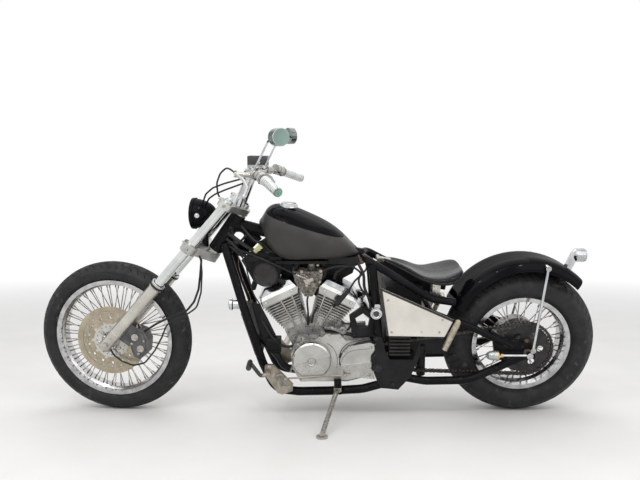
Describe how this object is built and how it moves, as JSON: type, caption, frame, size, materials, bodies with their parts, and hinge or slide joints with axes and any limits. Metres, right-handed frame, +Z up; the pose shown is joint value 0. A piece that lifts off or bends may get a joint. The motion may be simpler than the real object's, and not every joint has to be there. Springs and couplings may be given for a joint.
{
  "type": "chopper motorcycle",
  "caption": "Long low chopper motorcycle with raked fork, V-twin engine, teardrop tank, solo saddle and bobbed rear fender, leaning on its side stand.",
  "frame": {"origin": "centre of the footprint of the bounding box, on the floor", "axes": "+X rearward along the machine, +Z up, +Y to the machine's right; the front faces -X"},
  "size_m": [2.3807, 0.7774, 1.2148],
  "materials": {
    "tyre": "matte",
    "rim_chrome": "polished",
    "spoke_steel": "bright with rust at the nipples",
    "disc_tan": "drilled steel with a tan film",
    "sprocket_black": "black with a bright toothed edge",
    "chain_black": "oiled black",
    "fork_silver": "satin",
    "bright_steel": "bright",
    "clamp_aluminium": "milled",
    "gloss_black": "gloss",
    "chrome": "polished",
    "silver_housing": "polished",
    "grey_housing": "satin",
    "dark_alloy": "dull cast",
    "hose_rubber": "matte",
    "frame_black": "satin",
    "rusty_steel": "rusty nut",
    "engine_alloy": "cast with bright fin edges",
    "polished_alloy": "polished, pitted",
    "engine_dark": "satin",
    "carburettor_alloy": "dull cast",
    "exhaust_chrome": "polished",
    "radiator_black": "satin",
    "tank_black": "gloss top, satin charcoal sides",
    "seat_leather": "soft sheen",
    "panel_aluminium": "brushed",
    "box_plastic": "matte",
    "regulator_black": "satin",
    "lamp_red": "chrome case, red lens",
    "signal_lens": "clear lens",
    "control_alloy": "cast",
    "peg_alloy": "ribbed"
  },
  "bodies": {
    "frame": {"air_cleaner": "chrome", "alternator_cover": "polished_alloy", "carburettor": "carburettor_alloy", "coil_tray": "box_plastic", "crankcase": "engine_dark", "drive_chain": "chain_black", "electrics_box": "box_plastic", "exhaust_pipes": "exhaust_chrome", "fender_struts": "bright_steel", "foot_control_left": "control_alloy", "foot_control_right": "control_alloy", "frame_backbone": "frame_black", "frame_cradle": "frame_black", "frame_seat_rails": "frame_black", "front_cylinder": "engine_alloy", "front_head_cover": "polished_alloy", "fuel_tank": "tank_black", "horn": "chrome", "ignition_switch": "chrome", "left_case_cover": "polished_alloy", "passenger_pegs": "peg_alloy", "pivot_plates": "frame_black", "radiator": "radiator_black", "rear_axle": "rusty_steel", "rear_cylinder": "engine_alloy", "rear_fender": "gloss_black", "rear_head_cover": "polished_alloy", "rear_signals": "signal_lens", "regulator": "regulator_black", "right_case_cover": "polished_alloy", "seat": "seat_leather", "seat_mounts": "bright_steel", "side_drum": "regulator_black", "side_panels": "panel_aluminium", "side_stand_bracket": "frame_black", "sprocket_cover": "polished_alloy", "swingarm": "frame_black", "tail_lamp": "lamp_red", "tank_cap": "chrome"},
    "steering": {"fork_leg_left": "fork_silver", "fork_leg_right": "fork_silver", "front_axle": "bright_steel", "lower_clamp_and_stem": "clamp_aluminium", "upper_clamp": "clamp_aluminium", "headlight": "gloss_black", "handlebar": "chrome", "left_bar_controls": "silver_housing", "right_bar_controls": "grey_housing", "mirrors": "chrome", "front_caliper": "dark_alloy", "front_hoses": "hose_rubber"},
    "front_wheel": {"front_tyre": "tyre", "front_rim": "rim_chrome", "front_hub_and_spokes": "spoke_steel", "front_brake_disc": "disc_tan"},
    "rear_wheel": {"rear_tyre": "tyre", "rear_rim": "rim_chrome", "rear_hub_and_spokes": "spoke_steel", "rear_sprocket": "sprocket_black"},
    "side_stand": {"side_stand": "chrome"}
  },
  "joints": [
    {"name": "steering", "type": "hinge", "parent": "frame", "child": "steering", "pos_m": [-0.36447, -0.01178, 0.77664], "axis": [0.5738, -0.1982, 0.7946], "range_deg": [-31, 45]},
    {"name": "front_wheel_spin", "type": "hinge", "parent": "steering", "child": "front_wheel", "pos_m": [-0.86177, 0.11815, 0.32584], "axis": [0.0999, 0.98, 0.1723], "continuous": true},
    {"name": "rear_wheel_spin", "type": "hinge", "parent": "frame", "child": "rear_wheel", "pos_m": [0.86938, 0.10344, 0.31408], "axis": [0.0001, 0.9703, 0.2419], "continuous": true},
    {"name": "side_stand_fold", "type": "hinge", "parent": "frame", "child": "side_stand", "pos_m": [0.09232, -0.00443, 0.12698], "axis": [0.0003, -0.4496, 0.8932], "range_deg": [0, 92]}
  ]
}
